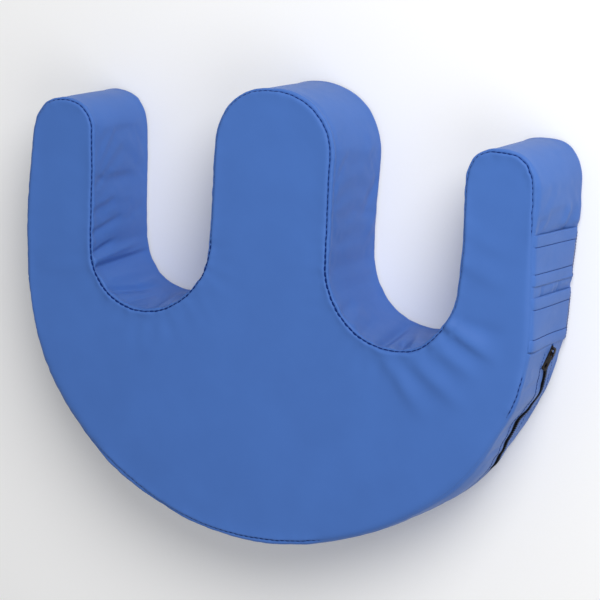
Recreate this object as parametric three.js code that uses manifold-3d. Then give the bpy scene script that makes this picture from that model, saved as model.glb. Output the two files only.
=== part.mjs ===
// Patient turning pad: a W-shaped foam block in a zipped, wipe-clean cover, with two hand straps on each side.
// Millimetres, +Z up. The pad lies on its back panel at z = 0, +X is its right side and +Y points to its prongs.
// The origin is on the ground, at the middle of the pad's width and length.
// Everything is drawn about the centre of the big round edge, and the group is then moved by ARC_CENTRE_Y.

import * as THREE from "three";
import { mergeVertices } from "three/addons/utils/BufferGeometryUtils.js";
import Module from "manifold-3d";

const wasm = await Module();
wasm.setup();

// Outline of the pad, seen from the front, with y counted from the centre of the big round edge.
const THICKNESS = 120;
const HALF_WIDTH = 300;
const ARC_R = 304;
const SHOULDER_R = 100;
const CENTRE_PRONG = { top: 192.5, halfTop: 68.4, halfBase: 70.2, cornerR: 66 };
const SIDE_PRONG = { innerTop: 152.8, outerTop: 164.2, xTop: 223.8, xBase: 217.8, innerR: 33, outerR: 39.7 };
const NOTCH = { bottom: -66.7, centreR: 82, outerR: 66 };
const ARC_CENTRE_Y = (ARC_R - CENTRE_PRONG.top) / 2;

// The cover.
const GAP = 0.3; // between pieces that touch
const SKIN = 2; // coated fabric with its backing, and the seam allowance behind it
const SEAM_REBATE = 1.6; // how far the band's edges stand back from the two outer faces
const THREAD = 1.2;
const THREAD_INSET = 0.4;
const JOIN_DEG = -9.3; // where the band round the prongs meets the two bands beside the zip
const JOIN_Y = ARC_R * Math.sin(THREE.MathUtils.degToRad(JOIN_DEG));

// The hand straps.
const STRAPS = { upper: [18, 71], lower: [-50, 6] };
const STRAP_THICK = 2;
const STRAP_BOW = 5;
const HEM = 12;
const HEM_THREAD = 0.6;
const HEM_THREAD_END = 8; // from the strap's sewn ends to its hem threads

// The zip, whose line runs round the big arc at this height and between these angles.
const ZIP_Z = 43;
const ZIP_SLOT = 9;
const COIL = { inner: 302, outer: 303.6, near: 0.8, far: 2.6, start: -9.9, end: -163 };
const TAPE = { inner: 300.9, outer: 301.7, near: 0.8, far: 12, start: -9.5, end: -170.5 };
const TOPSTITCH_OFFSET = 15;
const TOPSTITCH = 0.7;
const TOP_STOP = { start: -9.6, end: -9.85 };
const BOTTOM_STOP = { start: -163.1, end: -164.1 };
const TAPE_REBATE = { floor: 300.6, halfWidth: 12.6, start: -9.1, end: -170.9 };
const SLIDER_GROOVE = { floor: 298, halfWidth: 5.5 };

// The slider, along the radius (in and out), along the zip (length) and across it (half widths).
const SLIDER_DEG = -11.2;
const SLIDER = { length: 12, half: 4.1, lower: [298.9, 300.4], upper: [304.4, 305.9] };
const FLANGE = { near: 3.1, bottom: 302.3 };
const NECK = { half: 0.45, from: 2, to: 6 };
const BRIDGE = { half: 1.5, top: 310, bar: 1, foot: 4.6, leg: 1 };

// The pull tab, in its own frame: it lies askew across the zip and leans in to the cover.
const PULL = { length: 21, half: 5, thick: 1.4, open: 5, openHalf: 3.7, barR: 0.6, tipR: 3.6 };
const PULL_HOLE = { from: 12.5, to: 18, half: 1.9 };
const PULL_PIVOT = { radius: 307.3, along: -1.4 };
const PULL_SKEW_DEG = 30;
const PULL_LEAN_DEG = 5;

// How finely the curves are drawn.
const CORNER_STEP_DEG = 10;
const ARC_STEP_DEG = 3;
const STRAP_STEPS = 16;
const HOLE_STEPS = 8;

const rad = THREE.MathUtils.degToRad;

// ---- materials ----

function coatedFabric() {
  return new THREE.MeshStandardMaterial({ color: 0x4a73b8, roughness: 0.45, metalness: 0 });
}

function seamThread() {
  return new THREE.MeshStandardMaterial({ color: 0x23366e, roughness: 0.8, metalness: 0 });
}

function foam() {
  return new THREE.MeshStandardMaterial({ color: 0xe9e4d4, roughness: 0.95, metalness: 0 });
}

function zipTapeCloth() {
  return new THREE.MeshStandardMaterial({ color: 0x15151a, roughness: 0.9, metalness: 0 });
}

function zipCoilPlastic() {
  return new THREE.MeshStandardMaterial({ color: 0x101014, roughness: 0.4, metalness: 0 });
}

function zipMetal() {
  return new THREE.MeshStandardMaterial({ color: 0x17140f, roughness: 0.35, metalness: 0.7 });
}

// ---- solids and booleans ----

function toSolid(geometry) {
  const bare = geometry.index ? geometry.toNonIndexed() : geometry.clone();
  bare.deleteAttribute("normal");
  bare.deleteAttribute("uv");
  const merged = mergeVertices(bare, 1e-4);
  const mesh = new wasm.Mesh({
    numProp: 3,
    vertProperties: new Float32Array(merged.attributes.position.array),
    triVerts: new Uint32Array(merged.index.array),
  });
  return new wasm.Manifold(mesh);
}

function toGeometry(solid) {
  const mesh = solid.getMesh();
  const geometry = new THREE.BufferGeometry();
  geometry.setAttribute("position", new THREE.BufferAttribute(new Float32Array(mesh.vertProperties), 3));
  geometry.setIndex(Array.from(mesh.triVerts));
  geometry.computeVertexNormals();
  return geometry;
}

function joined(geometries) {
  return toGeometry(geometries.map(toSolid).reduce((whole, next) => whole.add(next)));
}

function cutBy(geometry, cutters) {
  return toGeometry(cutters.map(toSolid).reduce((left, cutter) => left.subtract(cutter), toSolid(geometry)));
}

function boxBetween([x0, x1], [y0, y1], [z0, z1]) {
  const box = new THREE.BoxGeometry(x1 - x0, y1 - y0, z1 - z0);
  return box.translate((x0 + x1) / 2, (y0 + y1) / 2, (z0 + z1) / 2);
}

// A flat outline, given as its points, raised from z0 to z1, with any holes.
function slab(points, z0, z1, holes = []) {
  const shape = new THREE.Shape(points);
  shape.holes = holes.map((hole) => new THREE.Path(hole));
  return new THREE.ExtrudeGeometry(shape, { depth: z1 - z0, bevelEnabled: false }).translate(0, 0, z0);
}

// ---- the outline ----

// The arc that rounds the corner at a point of the outline, met on the way from one point to another.
function corner(before, at, after, r) {
  const entering = at.clone().sub(before).normalize();
  const leaving = after.clone().sub(at).normalize();
  const turn = Math.atan2(entering.cross(leaving), entering.dot(leaving));
  const start = at.clone().addScaledVector(entering, -r * Math.tan(Math.abs(turn) / 2));
  const inward = new THREE.Vector2(-entering.y, entering.x).multiplyScalar(r * Math.sign(turn));
  const centre = start.clone().add(inward);
  return { centre, r, from: Math.atan2(-inward.y, -inward.x), turn, step: rad(CORNER_STEP_DEG) };
}

function mirrored(arc) {
  const centre = new THREE.Vector2(-arc.centre.x, arc.centre.y);
  return { ...arc, centre, from: Math.PI - arc.from - arc.turn };
}

// Points along an arc of an outline that runs anticlockwise, drawn a distance inside that outline.
function arcPoints(arc, inset) {
  const count = Math.max(1, Math.ceil(Math.abs(arc.turn) / arc.step));
  const r = arc.r - inset * Math.sign(arc.turn);
  return Array.from({ length: count + 1 }, (_, i) => {
    const angle = arc.from + (arc.turn * i) / count;
    return new THREE.Vector2(arc.centre.x + r * Math.cos(angle), arc.centre.y + r * Math.sin(angle));
  });
}

const shoulderX = HALF_WIDTH - SHOULDER_R;
const shoulderY = -Math.sqrt((ARC_R - SHOULDER_R) ** 2 - shoulderX ** 2);
const tangentAngle = Math.atan2(shoulderY, shoulderX);

function shoulder(from) {
  const centre = new THREE.Vector2(shoulderX, shoulderY);
  return { centre, r: SHOULDER_R, from, turn: -from, step: rad(ARC_STEP_DEG) };
}

// The four corners on the right half, from the outer side of the side prong to the centre prong's top.
function rightCorners() {
  const path = [
    [HALF_WIDTH, shoulderY],
    [HALF_WIDTH, SIDE_PRONG.outerTop, SIDE_PRONG.outerR],
    [SIDE_PRONG.xTop, SIDE_PRONG.innerTop, SIDE_PRONG.innerR],
    [SIDE_PRONG.xBase, NOTCH.bottom, NOTCH.outerR],
    [CENTRE_PRONG.halfBase, NOTCH.bottom, NOTCH.centreR],
    [CENTRE_PRONG.halfTop, CENTRE_PRONG.top, CENTRE_PRONG.cornerR],
    [0, CENTRE_PRONG.top],
  ];
  const points = path.map(([x, y]) => new THREE.Vector2(x, y));
  return path.slice(1, -1).map((p, i) => corner(points[i], points[i + 1], points[i + 2], p[2]));
}

// Along the prongs, anticlockwise, from a place on the right shoulder to the same place on the left one.
function prongPoints(inset, shoulderFrom) {
  const right = [shoulder(shoulderFrom), ...rightCorners()];
  const left = right.map(mirrored).reverse();
  return [...right, ...left].flatMap((arc) => arcPoints(arc, inset));
}

function bigArcPoints(r, start, end) {
  const centre = new THREE.Vector2(0, 0);
  return arcPoints({ centre, r, from: rad(start), turn: rad(end - start), step: rad(ARC_STEP_DEG) }, 0);
}

// The whole outline, closed, a distance inside the pad's outer face.
function outline(inset) {
  const start = THREE.MathUtils.radToDeg(tangentAngle);
  const bottom = bigArcPoints(ARC_R - inset, -180 - start, start);
  return [...prongPoints(inset, tangentAngle), ...bottom.slice(1, -1)];
}

// A strip of the big arc, between two radii and two angles.
function arcStrip(inner, outer, start, end, z0, z1) {
  const points = [...bigArcPoints(outer, end, start), ...bigArcPoints(inner, start, end)];
  return slab(points, z0, z1);
}

// ---- the parts ----

const cover = new THREE.Group();
cover.position.y = ARC_CENTRE_Y;

function add(name, geometry, material, parent = cover) {
  const mesh = new THREE.Mesh(geometry, material);
  mesh.name = name;
  parent.add(mesh);
  return mesh;
}

// The foam block, with a rebate for the zip's tape and a groove for the slider's lower plate.
function foamCore() {
  const block = slab(outline(SKIN + GAP), SKIN + GAP, THICKNESS - SKIN - GAP);
  const beyond = ARC_R + 1;
  const { start, end } = TAPE_REBATE;
  const cutters = [TAPE_REBATE, SLIDER_GROOVE].map(({ floor, halfWidth }) =>
    arcStrip(floor, beyond, start, end, ZIP_Z - halfWidth, ZIP_Z + halfWidth)
  );
  return cutBy(block, cutters);
}

function panel(z0) {
  return slab(outline(SKIN + GAP), z0, z0 + SKIN);
}

// The one band that runs round the side walls of all three prongs.
function prongBand() {
  const joinAngle = Math.asin((JOIN_Y - shoulderY) / SHOULDER_R);
  const outer = prongPoints(0, joinAngle);
  const inner = prongPoints(SKIN, joinAngle).reverse();
  return slab([...outer, ...inner], SEAM_REBATE, THICKNESS - SEAM_REBATE);
}

function zipBand(z0, z1) {
  const start = JOIN_DEG - 0.1;
  return arcStrip(ARC_R - SKIN, ARC_R, start, -180 - start, z0, z1);
}

function seamLine(z0) {
  return slab(outline(THREAD_INSET), z0, z0 + THREAD, [outline(THREAD_INSET + THREAD).reverse()]);
}

// The strap's section across the pad's thickness: sewn down at both ends and standing off between them.
function strapSection(standOff, thick, end) {
  const low = SKIN + end;
  const high = THICKNESS - SKIN - end;
  const middle = THICKNESS / 2;
  const side = (extra) =>
    Array.from({ length: STRAP_STEPS + 1 }, (_, i) => {
      const z = low + ((high - low) * i) / STRAP_STEPS;
      const bow = STRAP_BOW * (1 - ((z - middle) / (middle - SKIN)) ** 4);
      return new THREE.Vector2(HALF_WIDTH + standOff + bow + extra, z);
    });
  return [...side(thick), ...side(0).reverse()];
}

// Stands a section drawn in x and z upright, between two places along y, and mirrors it for the left side.
function alongY(section, y0, y1, sign) {
  const points = section.map((p) => new THREE.Vector2(sign * p.x, p.y));
  const geometry = slab(points, 0, y1 - y0);
  return geometry.rotateX(Math.PI / 2).translate(0, y1, 0);
}

function addStraps() {
  for (const [side, sign] of Object.entries({ right: 1, left: -1 })) {
    for (const [level, [y0, y1]] of Object.entries(STRAPS)) {
      const name = `${side}_${level}_strap`;
      add(name, alongY(strapSection(GAP, STRAP_THICK, 0), y0, y1, sign), coatedFabric());
      const line = strapSection(GAP + STRAP_THICK + GAP, HEM_THREAD, HEM_THREAD_END);
      for (const [edge, y] of Object.entries({ low: y0 + HEM, high: y1 - HEM })) {
        add(`${name}_thread_${edge}`, alongY(line, y, y + HEM_THREAD, sign), seamThread());
      }
    }
  }
}

// One of the zip's two sides, towards the front face (1) or the back face (-1).
function addZipSide(side, sign) {
  const across = (near, far) => [ZIP_Z + sign * near, ZIP_Z + sign * far].sort((a, b) => a - b);
  const edge = sign > 0 ? THICKNESS - SEAM_REBATE : SEAM_REBATE;
  const band = [ZIP_Z + (sign * ZIP_SLOT) / 2, edge].sort((a, b) => a - b);
  add(`zip_band_${side}`, zipBand(...band), coatedFabric());
  const tape = arcStrip(TAPE.inner, TAPE.outer, TAPE.start, TAPE.end, ...across(TAPE.near, TAPE.far));
  add(`zip_tape_${side}`, tape, zipTapeCloth());
  const rows = across(COIL.near, COIL.far);
  add(`zip_coil_${side}`, arcStrip(COIL.inner, COIL.outer, COIL.start, COIL.end, ...rows), zipCoilPlastic());
  const stop = arcStrip(COIL.inner, COIL.outer, TOP_STOP.start, TOP_STOP.end, ...rows);
  add(`zip_top_stop_${side}`, stop, zipMetal());
  const stitch = across(TOPSTITCH_OFFSET, TOPSTITCH_OFFSET + TOPSTITCH);
  const inner = ARC_R + GAP;
  const line = arcStrip(inner, inner + TOPSTITCH, JOIN_DEG - 1, -179 - JOIN_DEG, ...stitch);
  add(`zip_topstitch_${side}`, line, seamThread());
}

function bottomStop() {
  const { start, end } = BOTTOM_STOP;
  return arcStrip(COIL.inner, COIL.outer, start, end, ZIP_Z - COIL.far, ZIP_Z + COIL.far);
}

// The slider, at angle 0 of the arc, its length along y: two plates joined by a neck between the coils,
// flanges that hold the coils' outer edges, and a bridge for the pull.
function zipSlider() {
  const { half, lower, upper } = SLIDER;
  const ends = [-SLIDER.length / 2, SLIDER.length / 2];
  const overlap = 0.1;
  const pieces = [
    boxBetween(lower, ends, [-half, half]),
    boxBetween(upper, ends, [-half, half]),
    boxBetween([lower[1] - overlap, upper[0] + overlap], [NECK.from, NECK.to], [-NECK.half, NECK.half]),
    boxBetween([BRIDGE.top - BRIDGE.bar, BRIDGE.top], [-BRIDGE.foot, BRIDGE.foot], [-BRIDGE.half, BRIDGE.half]),
  ];
  for (const sign of [-1, 1]) {
    const flange = [sign * FLANGE.near, sign * half].sort((a, b) => a - b);
    pieces.push(boxBetween([FLANGE.bottom, upper[0] + overlap], ends, flange));
    const leg = [sign * (BRIDGE.foot - BRIDGE.leg), sign * BRIDGE.foot].sort((a, b) => a - b);
    const height = [upper[1] - overlap, BRIDGE.top - BRIDGE.bar + overlap];
    pieces.push(boxBetween(height, leg, [-BRIDGE.half, BRIDGE.half]));
  }
  return joined(pieces);
}

// The pull, drawn flat in x (across) and y (from its tip at -length up to its bar at 0), with z its thickness.
function pullTab() {
  const { length, half, thick, open, openHalf, barR, tipR } = PULL;
  const tip = new THREE.Shape();
  tip.moveTo(half, barR);
  tip.lineTo(-half, barR);
  tip.lineTo(-half, -length + tipR);
  tip.absarc(-half + tipR, -length + tipR, tipR, Math.PI, 1.5 * Math.PI, false);
  tip.absarc(half - tipR, -length + tipR, tipR, 1.5 * Math.PI, 2 * Math.PI, false);
  tip.closePath();
  const middle = -(PULL_HOLE.from + PULL_HOLE.to) / 2;
  const hole = new THREE.Path();
  hole.absellipse(0, middle, PULL_HOLE.half, (PULL_HOLE.to - PULL_HOLE.from) / 2, 0, 2 * Math.PI, true, 0);
  const frame = new THREE.Path();
  frame.setFromPoints([
    new THREE.Vector2(-openHalf, -barR),
    new THREE.Vector2(openHalf, -barR),
    new THREE.Vector2(openHalf, -open),
    new THREE.Vector2(-openHalf, -open),
  ]);
  tip.holes = [hole, frame];
  const plate = new THREE.ExtrudeGeometry(tip, { depth: thick, bevelEnabled: false, curveSegments: HOLE_STEPS });
  return plate.translate(0, 0, -thick / 2);
}

// A group at a place on the zip, with x outwards, y along the zip and z up.
function onZip(degrees) {
  const place = new THREE.Group();
  place.rotation.z = rad(degrees);
  place.position.z = ZIP_Z;
  cover.add(place);
  return place;
}

function addSliderAndPull() {
  const slider = onZip(SLIDER_DEG);
  add("zip_slider", zipSlider(), zipMetal(), slider);
  const pivot = new THREE.Group();
  pivot.position.set(PULL_PIVOT.radius, PULL_PIVOT.along, 0);
  pivot.rotation.x = -rad(PULL_SKEW_DEG);
  slider.add(pivot);
  const lean = new THREE.Group();
  lean.rotation.set(0, 0, -rad(PULL_LEAN_DEG));
  pivot.add(lean);
  const tab = add("zip_pull", pullTab(), zipMetal(), lean);
  tab.rotation.y = Math.PI / 2;
}

add("foam_core", foamCore(), foam());
add("front_panel", panel(THICKNESS - SKIN), coatedFabric());
add("back_panel", panel(0), coatedFabric());
add("prong_band", prongBand(), coatedFabric());
add("front_seam_thread", seamLine(THICKNESS - SEAM_REBATE + GAP), seamThread());
add("back_seam_thread", seamLine(SEAM_REBATE - GAP - THREAD), seamThread());
addStraps();
addZipSide("front", 1);
addZipSide("back", -1);
add("zip_bottom_stop", bottomStop(), zipMetal());
addSliderAndPull();

export default cover;
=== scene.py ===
"""A patient turning pad: the cover, its seams and folds, the hand straps and the zip, built round the
packed pad.

Shapes are worked out in millimetres and written to the meshes in metres. The pad lies on its back panel
at z = 0.
"""

import math

import bmesh
import bpy
import numpy as np
from mathutils import Matrix, Quaternion, Vector, noise
from mathutils.geometry import delaunay_2d_cdt
from mathutils.kdtree import KDTree


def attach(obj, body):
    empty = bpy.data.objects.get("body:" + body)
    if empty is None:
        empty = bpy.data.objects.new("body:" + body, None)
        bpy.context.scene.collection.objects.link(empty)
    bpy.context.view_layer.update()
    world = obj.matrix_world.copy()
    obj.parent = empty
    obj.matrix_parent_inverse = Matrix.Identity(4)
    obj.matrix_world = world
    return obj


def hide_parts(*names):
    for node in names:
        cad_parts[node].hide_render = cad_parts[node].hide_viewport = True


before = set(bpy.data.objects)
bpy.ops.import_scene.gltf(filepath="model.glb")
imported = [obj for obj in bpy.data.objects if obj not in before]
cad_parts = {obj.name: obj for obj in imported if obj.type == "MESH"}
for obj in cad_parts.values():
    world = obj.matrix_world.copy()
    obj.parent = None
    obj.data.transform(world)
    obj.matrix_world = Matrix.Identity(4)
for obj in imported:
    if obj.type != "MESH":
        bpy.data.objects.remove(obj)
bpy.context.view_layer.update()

MM = 0.001

# The pad's outline. Its heights y are counted from the centre of the big round edge, which lies at
# ARC_CENTRE_Y.
THICKNESS = 120
HALF_WIDTH = 300
ARC_R = 304
SHOULDER_R = 100
CENTRE_PRONG = {"top": 192.5, "half_top": 68.4, "half_base": 70.2, "corner_r": 66}
SIDE_PRONG = {"inner_top": 152.8, "outer_top": 164.2, "x_top": 223.8, "x_base": 217.8, "inner_r": 33,
              "outer_r": 39.7}
NOTCH = {"bottom": -66.7, "centre_r": 82, "outer_r": 66}
ARC_CENTRE_Y = (ARC_R - CENTRE_PRONG["top"]) / 2
MIDDLE = THICKNESS / 2

# The cover.
STITCH_PITCH = 6.4
COLUMNS_PER_STITCH = 4
EDGE_R = 4.5

# How the sewn cover departs from the drawn outline. Each pair of lists is read along the big round edge,
# by the angle from its centre in degrees, and along the prongs, by the distance from the right shoulder:
# how far the front and the back edge are pushed out, how far the side wall stands out at its middle, how
# round the edges are, and how far the front seam strays from its edge on to the face.
FRONT_OUT = (
    [(-170, 0), (-150, 6), (-135, 5), (-105, 1), (-75, -1.5), (-55, 0.5), (-40, 4.5), (-20, 6),
     (-8, 3)],
    [(20, 3), (80, 0.5), (130, -1.5), (180, 0), (240, 0), (300, 3), (370, -1.5), (410, -0.5),
     (460, 4), (510, 0), (880, 0), (920, 2.5), (1050, 1), (1160, 3), (1230, 0), (1410, 1.5),
     (1560, -1), (1670, 4), (1730, 0)],
)
BACK_OUT = (
    [(-170, 1), (-160, 0), (-36, 0), (-29, 2), (-20, 0), (-14, 0), (-8, 1)],
    [(20, 1), (40, 2), (67, 2.5), (74, 4.5), (81, 2.5), (110, 4), (126, 5), (140, 7.5), (170, 5.5),
     (210, 6), (240, 0.5), (300, 1), (510, 4), (530, 2), (590, 1), (640, 2.5), (690, 2.5), (760, 6),
     (800, 2.5), (860, -1), (910, 0), (1180, 2), (1210, 4), (1260, 3), (1310, 5), (1360, 3.5),
     (1430, 3.5), (1500, 0), (1600, 1)],
)
# Where along the outline the prongs begin and end. Between them each edge's movement spreads over the whole
# height; by the zip the front edge's begins at one height and the back edge's ends at another.
PRONGS_START, PRONGS_END = (15, 70), (1690, 1740)
FRONT_OUT_FROM, BACK_OUT_TO = 40, 38
CROWN = (
    [(-168, 0), (-160, 3), (-150, 6), (-138, 8), (-120, 7), (-110, 5), (-95, 4), (-80, 3), (-70, 2),
     (-57, 3), (-50, 5.5), (-44, 8.5), (-38, 8), (-34, 5), (-31, 1.5), (-27, -2), (-24, 0),
     (-20.5, 2.5), (-17, 0.5), (-14, 0)],
    [(20, 0), (110, 0), (128, -1.5), (165, 3), (199, 1), (240, 0.5), (262, 0), (887, 0), (930, 1),
     (1480, 1), (1515, 1.2), (1560, 0.5), (1600, 0), (1728, 0)],
)
EDGE_ROUND = (
    [(-172, 5), (-165, 5), (-150, 8), (-138, 10), (-118, 8), (-105, 6), (-85, 6), (-72, 9), (-30, 10),
     (-16, 9), (-8, 8)],
    [(20, 8), (130, 8), (180, 6.5), (250, 6), (270, EDGE_R), (630, EDGE_R), (690, 8), (850, 8),
     (900, EDGE_R), (1700, EDGE_R), (1728, 5)],
)
SEAM_STRAY = (
    [(-172, 0), (-165, -2), (-140, -3), (-133, -2), (-127, 3), (-118, 3), (-112, 0), (-105, 1),
     (-95, 2.2), (-86, 2.6), (-78, 2.6), (-73, 0), (-68, -2), (-60, -3), (-30, -3), (-24, -1),
     (-8, -1)],
    [(20, -1), (110, 0), (140, 1), (160, 4), (180, 6), (200, 4), (212, 1), (222, 0.5), (240, 3),
     (260, 0)],
)
# Where the seams' stitches show, 1, and where they are sunk in the cloth, 0.
STITCH_SHOW = (
    [(-172, 1), (-78, 1), (-73, 0), (-23.5, 0), (-21.5, 0.9), (-15, 0.9), (-13, 0), (-8, 0)],
    [(8, 0), (131, 0), (138, 0.5), (185, 0.5), (205, 1), (1728, 1)],
)

# The height of the zip along the big round edge.
ZIP_LINE = [
    (-9, 43), (-13.5, 43), (-18.5, 34), (-22, 32), (-24.5, 34), (-28, 44), (-31, 51.5), (-34, 54), (-37, 48),
    (-41, 42), (-58, 45), (-75, 39), (-95, 45), (-115, 40), (-135, 45), (-155, 43), (-171, 43),
]
# Half the gap between the two bands over the zip, and how far the zip is squeezed out of it, along the
# same edge.
SLOT_HALF = [(-9, 2.6), (-13, 2.8), (-16, 3.8), (-19, 3.4), (-22.5, 2.2), (-25, 3.5), (-28, 5.2), (-34, 5.2),
             (-40, 3.5), (-171, 3.5)]
ZIP_RISE = [(-9, 0), (-13, 0), (-15, 2.6), (-18.5, 2.6), (-21.5, 1.7), (-23.5, 1.8), (-26.5, 2.7),
            (-36, 2.7), (-40, 1), (-145, 1), (-153, -0.4), (-171, -0.4)]


def smoothstep(x, low, high):
    t = np.clip((np.asarray(x, float) - low) / (high - low), 0, 1)
    return t * t * (3 - 2 * t)


def bump(x, middle, half_width):
    """1 at the middle, falling smoothly to 0 at half_width on either side."""
    t = np.clip(1 - ((np.asarray(x, float) - middle) / half_width) ** 2, 0, 1)
    return t * t


def mixed(a, b, weight):
    return a + (b - a) * weight


def read_along(places, x):
    """A smooth line through places, a list of (x, value), flat at each of them."""
    known, values = np.array(sorted(places), float).T
    x = np.clip(x, known[0], known[-1])
    k = np.clip(np.searchsorted(known, x, "right") - 1, 0, len(known) - 2)
    t = (x - known[k]) / (known[k + 1] - known[k])
    return values[k] + (values[k + 1] - values[k]) * t * t * (3 - 2 * t)


# ---- the outline ----

def corner(before, at, after, r):
    """The arc that rounds the corner at a point of the outline: centre, radius, first angle and turn."""
    before, at, after = (np.array(p, float) for p in (before, at, after))
    entering = (at - before) / np.linalg.norm(at - before)
    leaving = (after - at) / np.linalg.norm(after - at)
    cross = entering[0] * leaving[1] - entering[1] * leaving[0]
    turn = math.atan2(cross, entering @ leaving)
    start = at - entering * r * math.tan(abs(turn) / 2)
    inward = np.array([-entering[1], entering[0]]) * r * np.sign(turn)
    return start + inward, r, math.atan2(-inward[1], -inward[0]), turn


def mirrored(arc):
    centre, r, start, turn = arc
    return np.array([-centre[0], centre[1]]), r, math.pi - start - turn, turn


def outline_arcs():
    """Every arc of the outline, anticlockwise from the right end of the big round edge; straight lines
    join them."""
    shoulder_x = HALF_WIDTH - SHOULDER_R
    shoulder_y = -math.sqrt((ARC_R - SHOULDER_R) ** 2 - shoulder_x ** 2)
    tangent = math.atan2(shoulder_y, shoulder_x)
    path = [
        [(HALF_WIDTH, shoulder_y), 0],
        [(HALF_WIDTH, SIDE_PRONG["outer_top"]), SIDE_PRONG["outer_r"]],
        [(SIDE_PRONG["x_top"], SIDE_PRONG["inner_top"]), SIDE_PRONG["inner_r"]],
        [(SIDE_PRONG["x_base"], NOTCH["bottom"]), NOTCH["outer_r"]],
        [(CENTRE_PRONG["half_base"], NOTCH["bottom"]), NOTCH["centre_r"]],
        [(CENTRE_PRONG["half_top"], CENTRE_PRONG["top"]), CENTRE_PRONG["corner_r"]],
        [(0, CENTRE_PRONG["top"]), 0],
    ]
    right = [(np.array([shoulder_x, shoulder_y]), SHOULDER_R, tangent, -tangent)]
    for (before, _), (at, r), (after, _) in zip(path, path[1:], path[2:]):
        right.append(corner(before, at, after, r))
    left = [mirrored(arc) for arc in reversed(right)]
    rocker = (np.zeros(2), ARC_R, math.pi - tangent, math.pi + 2 * tangent)
    return [*right, *left, rocker]


class Outline:
    """The outline by the distance s along it, in millimetres, with its outward direction."""

    STEP = 0.5

    def __init__(self):
        points, outward = [], []
        self.arcs = []
        travelled = 0.0
        last = None
        for centre, r, start, turn in outline_arcs():
            count = max(2, int(abs(turn) * r / self.STEP))
            angle = start + turn * np.linspace(0, 1, count + 1)
            ring = np.stack([np.cos(angle), np.sin(angle)], 1)
            place = centre + r * ring
            if last is not None:
                travelled += np.linalg.norm(place[0] - last)
            self.arcs.append((travelled, travelled + abs(turn) * r))
            travelled += abs(turn) * r
            last = place[-1]
            points.append(place)
            outward.append(ring * np.sign(turn))
        self.points = np.concatenate(points) + [0, ARC_CENTRE_Y]
        self.outward = np.concatenate(outward)
        steps = np.linalg.norm(np.diff(self.points, axis=0), axis=1)
        self.s = np.concatenate([[0], np.cumsum(steps)])
        self.length = travelled
        self.s *= travelled / self.s[-1]
        self.even_s = np.arange(0, travelled, 1.0)
        self.even, self.even_outward = self.at(self.even_s)

    def at(self, s):
        s = np.mod(s, self.length)
        place = np.stack([np.interp(s, self.s, self.points[:, i]) for i in (0, 1)], -1)
        outward = np.stack([np.interp(s, self.s, self.outward[:, i]) for i in (0, 1)], -1)
        return place, outward / np.linalg.norm(outward, axis=-1, keepdims=True)

    def nearest(self, points):
        """For points in the plane, the distance s of the nearest place on the outline, and how far inside
        it they are."""
        s, inside = np.empty(len(points)), np.empty(len(points))
        for i in range(0, len(points), 500):
            part = points[i:i + 500]
            gap = part[:, None] - self.even[None]
            k = (gap ** 2).sum(2).argmin(1)
            nearest = gap[np.arange(len(part)), k]
            outward = self.even_outward[k]
            along = outward[:, 0] * nearest[:, 1] - outward[:, 1] * nearest[:, 0]
            s[i:i + 500] = self.even_s[k] + along
            inside[i:i + 500] = -(nearest * outward).sum(1)
        return s, inside


outline = Outline()
RIGHT_END_DEG = math.degrees(outline_arcs()[0][2])
STITCHES = round(outline.length / STITCH_PITCH)
STITCH = outline.length / STITCHES
# The two shoulders' places in the list of arcs.
SHOULDER, SHOULDER_LEFT = 0, 11


def rocker_angle(s):
    """The place s as an angle in degrees on the big round edge, from -11.4 at its right end to -168.6,
    and past them on the two shoulders. Round the prongs it is 0."""
    s = np.mod(s, outline.length)
    past_end = np.where(s < outline.arcs[SHOULDER][1], s, s - outline.length)
    angle = np.degrees(past_end / ARC_R) + RIGHT_END_DEG
    prongs = (s >= outline.arcs[SHOULDER][1]) & (s <= outline.arcs[SHOULDER_LEFT][0])
    return np.where(prongs, 0, angle)


def place_at(angle):
    """The place along the outline at an angle in degrees on the big round edge."""
    return np.mod(np.radians(np.asarray(angle, float) - RIGHT_END_DEG) * ARC_R, outline.length)


# ---- the cover's plain shape ----

def read_place(lists, s):
    """Reads one of the pairs of lists above at places along the outline."""
    angle = rocker_angle(s)
    return np.where(angle < 0, read_along(lists[0], angle), read_along(lists[1], np.mod(s, outline.length)))


def seam_wander(s):
    """How far the seams stray from the edge on to the faces."""
    turn = 2 * np.pi * s / outline.length
    broad = 0.5 * np.sin(11 * turn) * np.sin(18 * turn + 1)
    return read_place(SEAM_STRAY, s) + broad + uneven_stitching(turn)


def uneven_stitching(turn):
    return 0.35 * np.sin(121 * turn) * np.sin(47 * turn + 2)


def pushed_out(s, z):
    """How far the cover is pushed out at height z, apart from its bulge. By the zip it keeps to the
    outline."""
    along = np.mod(s, outline.length)
    on_prongs = smoothstep(along, *PRONGS_START) * (1 - smoothstep(along, *PRONGS_END))
    low = FRONT_OUT_FROM * (1 - on_prongs)
    high = mixed(BACK_OUT_TO, THICKNESS, on_prongs)
    front = mixed(smoothstep(z, low, THICKNESS), z / THICKNESS, on_prongs)
    back = 1 - mixed(smoothstep(z, 0, high), z / THICKNESS, on_prongs)
    return front * read_place(FRONT_OUT, s) + back * read_place(BACK_OUT, s)


def edge_section(from_edge, r):
    """A rounded edge, by the distance from its middle, which is negative on the face: how far in from the
    side wall, how far below the face, and the surface's tilt."""
    tilt = np.pi / 4 * (1 - np.clip(from_edge / r, -1, 1))
    inward = r - r * np.cos(tilt) + np.maximum(-from_edge - r, 0)
    below = r - r * np.sin(tilt) + np.maximum(from_edge - r, 0)
    return inward, below, tilt


def crown(s, z):
    """How far the side wall stands out beyond the outline."""
    across = 1 - np.clip(np.abs(z - MIDDLE) / MIDDLE, 0, 1) ** 3
    return read_place(CROWN, s) * across + pushed_out(s, z)


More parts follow.
